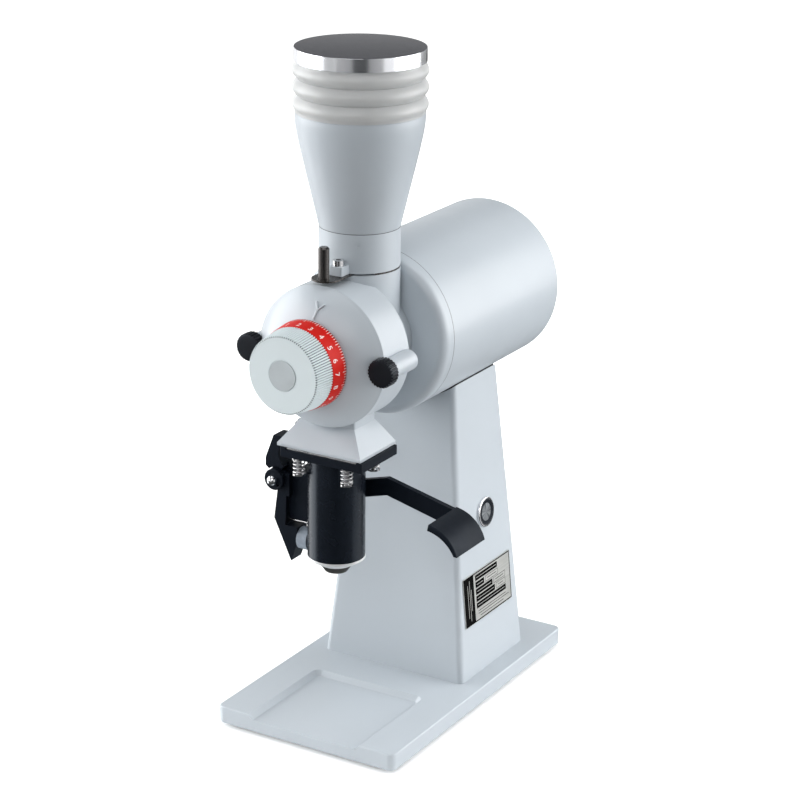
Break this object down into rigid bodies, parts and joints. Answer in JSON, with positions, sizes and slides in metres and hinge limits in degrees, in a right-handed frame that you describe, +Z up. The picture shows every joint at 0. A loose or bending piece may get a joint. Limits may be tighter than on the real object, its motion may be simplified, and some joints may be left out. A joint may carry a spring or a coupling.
{
  "type": "coffee grinder",
  "caption": "Electric coffee grinder: horizontal motor on a tapered column, conical hopper with bellows lid, knob-set burrs, sprung chute and knocking lever.",
  "frame": {"origin": "centre of the base plate's underside", "axes": "+X to the right of a person who faces the adjusting knob, +Y towards the back, +Z up"},
  "size_m": [0.192, 0.3077, 0.5306],
  "materials": {
    "painted": "gloss",
    "black": "satin",
    "red": "anodised",
    "cap_grey": "satin",
    "chrome": "polished",
    "steel": "brushed",
    "dark_steel": "satin",
    "iron": "satin",
    "winding": "varnished",
    "rubber": "matte",
    "black_rubber": "matte",
    "silicone": "translucent",
    "black_plastic": "matte",
    "lid_metal": "polished",
    "plate_metal": "satin"
  },
  "bodies": {
    "stand": {"base_plate": "painted", "rubber_feet": "black_rubber", "column": "painted", "column_screws": "dark_steel", "column_gasket": "black_rubber", "motor_screws": "steel", "switch_bezel": "chrome", "name_plate": "plate_metal", "mains_inlet": "black_plastic", "motor_housing": "painted", "rear_cap": "painted", "tie_rods": "steel", "stator": "iron", "stator_windings": "winding", "motor_bearings": "steel", "grinder_body": "painted", "gate_spacer": "dark_steel", "hopper_collar": "painted", "lug_screw": "steel", "collar_screws": "steel", "hopper_cone": "painted", "outlet_skirt": "painted", "hanger_bolts": "steel", "hanger_springs": "steel", "knocker_bracket": "black", "bracket_screws": "steel", "pivot_bolt": "chrome", "pivot_disc": "black", "pivot_nut": "steel", "lever_spring": "steel"},
    "rotor": {"motor_shaft": "steel", "rotor_core": "iron", "feed_auger": "iron", "burr_carrier": "iron", "inner_burr": "dark_steel", "inner_burr_screws": "steel", "shaft_nut": "steel"},
    "cover": {"front_cover": "painted"},
    "left_screw": {"thumb_screw_left": "black"},
    "right_screw": {"thumb_screw_right": "black"},
    "knob": {"adjusting_knob": "painted", "dial_ring": "red", "knob_cap": "cap_grey", "adjusting_spindle": "steel"},
    "still_burr": {"burr_slider": "iron", "outer_burr": "dark_steel", "outer_burr_screws": "steel"},
    "gate": {"gate_plate": "dark_steel", "gate_pin": "dark_steel"},
    "bellows_body": {"bellows": "silicone"},
    "lid": {"hopper_lid": "lid_metal"},
    "chute": {"shaker_plate": "black", "wear_sheet": "steel", "chute_tube": "black", "chute_ring": "chrome", "chute_nozzle": "dark_steel"},
    "lever": {"hand_lever": "black", "bumper": "rubber", "stop_rod": "steel"},
    "button": {"push_button": "steel"}
  },
  "joints": [
    {"name": "motor_spin", "type": "hinge", "parent": "stand", "child": "rotor", "pos_m": [0, 0, 0.3066], "axis": [0, -1, 0], "continuous": true},
    {"name": "cover_slide", "type": "slide", "parent": "stand", "child": "cover", "axis": [0, -1, 0], "range_m": [0, 0.05]},
    {"name": "left_screw_turn", "type": "hinge", "parent": "cover", "child": "left_screw", "pos_m": [-0.0572, -0.118, 0.3066], "axis": [0, -1, 0], "continuous": true},
    {"name": "right_screw_turn", "type": "hinge", "parent": "cover", "child": "right_screw", "pos_m": [0.0572, -0.118, 0.3066], "axis": [0, -1, 0], "continuous": true},
    {"name": "knob_turn", "type": "hinge", "parent": "cover", "child": "knob", "pos_m": [0, -0.15, 0.3066], "axis": [0, -1, 0], "range_deg": [-60, 150]},
    {"name": "burr_feed", "type": "slide", "parent": "cover", "child": "still_burr", "axis": [0, -1, 0], "range_m": [-0.0003, 0.0007]},
    {"name": "gate_slide", "type": "slide", "parent": "stand", "child": "gate", "axis": [0, -1, 0], "range_m": [0, 0.046]},
    {"name": "bellows_lift", "type": "slide", "parent": "stand", "child": "bellows_body", "axis": [0, 0, 1], "range_m": [0, 0.06]},
    {"name": "lid_press", "type": "slide", "parent": "bellows_body", "child": "lid", "axis": [0, 0, -1], "range_m": [0, 0.018], "stiffness_N_per_m": 600, "springref_m": -0.01, "deforming": ["bellows"]},
    {"name": "chute_shake", "type": "slide", "parent": "stand", "child": "chute", "axis": [0, 0, -1], "range_m": [0, 0.003], "stiffness_N_per_m": 4000, "springref_m": -0.003, "deforming": ["hanger_springs"]},
    {"name": "lever_swing", "type": "hinge", "parent": "stand", "child": "lever", "pos_m": [-0.0497, -0.09, 0.1966], "axis": [0, 1, 0], "range_deg": [0, 16], "stiffness_Nm_per_rad": 0.6, "springref_deg": -28.65},
    {"name": "button_press", "type": "slide", "parent": "stand", "child": "button", "axis": [-0.9954, 0, -0.0963], "range_m": [0, 0.0035], "stiffness_N_per_m": 800, "springref_m": -0.001}
  ],
  "couplings": [
    {"joint": "burr_feed", "follows": "knob_turn", "m_per_rad": 0.0002387}
  ]
}
